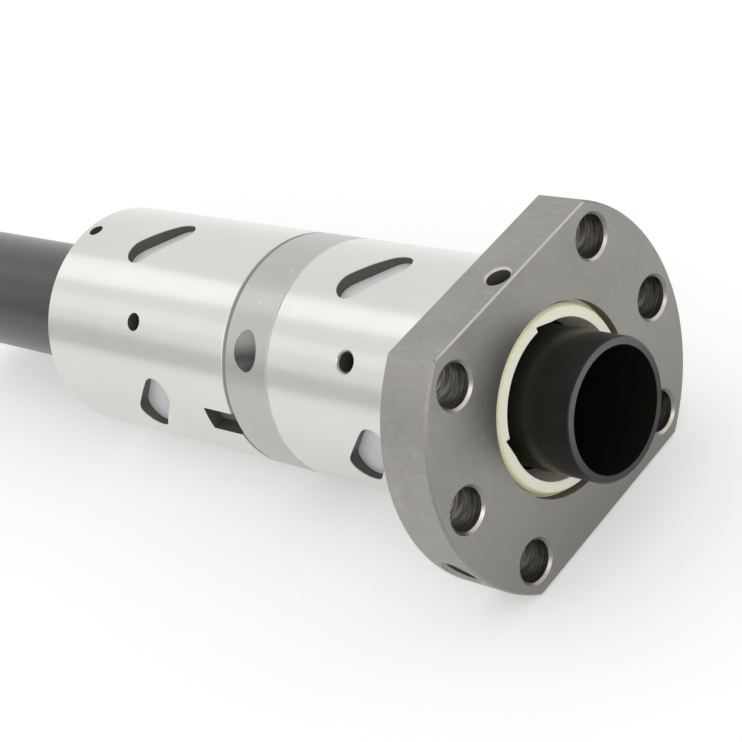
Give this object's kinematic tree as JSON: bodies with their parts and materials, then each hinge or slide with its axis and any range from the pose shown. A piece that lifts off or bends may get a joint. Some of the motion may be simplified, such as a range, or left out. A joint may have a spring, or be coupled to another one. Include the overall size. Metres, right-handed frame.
{
  "type": "ball screw nut",
  "caption": "Flanged double ball nut for a ball screw: two recirculating ball nuts either side of a spacer ring, on a slide-out mounting sleeve.",
  "frame": {"origin": "on the screw axis at the flange's seating face", "axes": "+X along the screw axis, out of the flange and away from the nut bodies; Z square to the flange's two flats"},
  "size_m": [0.2253, 0.08, 0.062],
  "materials": {
    "ground_steel": "ground bright",
    "spacer_steel": "fine matte",
    "deflector_steel": "satin",
    "dark_steel": "blackened",
    "wiper_plastic": "translucent cream",
    "sleeve_plastic": "satin black"
  },
  "bodies": {
    "nut_unit": {"flanged_nut": "ground_steel", "rear_nut": "ground_steel", "spacer_ring": "spacer_steel", "locking_key": "dark_steel", "spacer_dowel": "dark_steel", "front_wiper": "wiper_plastic", "rear_wiper": "wiper_plastic", "front_deflector_1": "deflector_steel", "rear_deflector_1": "deflector_steel", "front_deflector_2": "deflector_steel", "rear_deflector_2": "deflector_steel", "front_deflector_3": "deflector_steel", "rear_deflector_3": "deflector_steel", "front_deflector_4": "deflector_steel", "rear_deflector_4": "deflector_steel", "front_wiper_screw_upper": "dark_steel", "front_wiper_screw_lower": "dark_steel", "rear_wiper_screw_upper": "dark_steel", "rear_wiper_screw_lower": "dark_steel"},
    "sleeve": {"mounting_sleeve": "sleeve_plastic"}
  },
  "joints": [
    {"name": "sleeve_slide", "type": "slide", "parent": "nut_unit", "child": "sleeve", "axis": [1, 0, 0], "range_m": [-0.0133, 0.0735]}
  ]
}
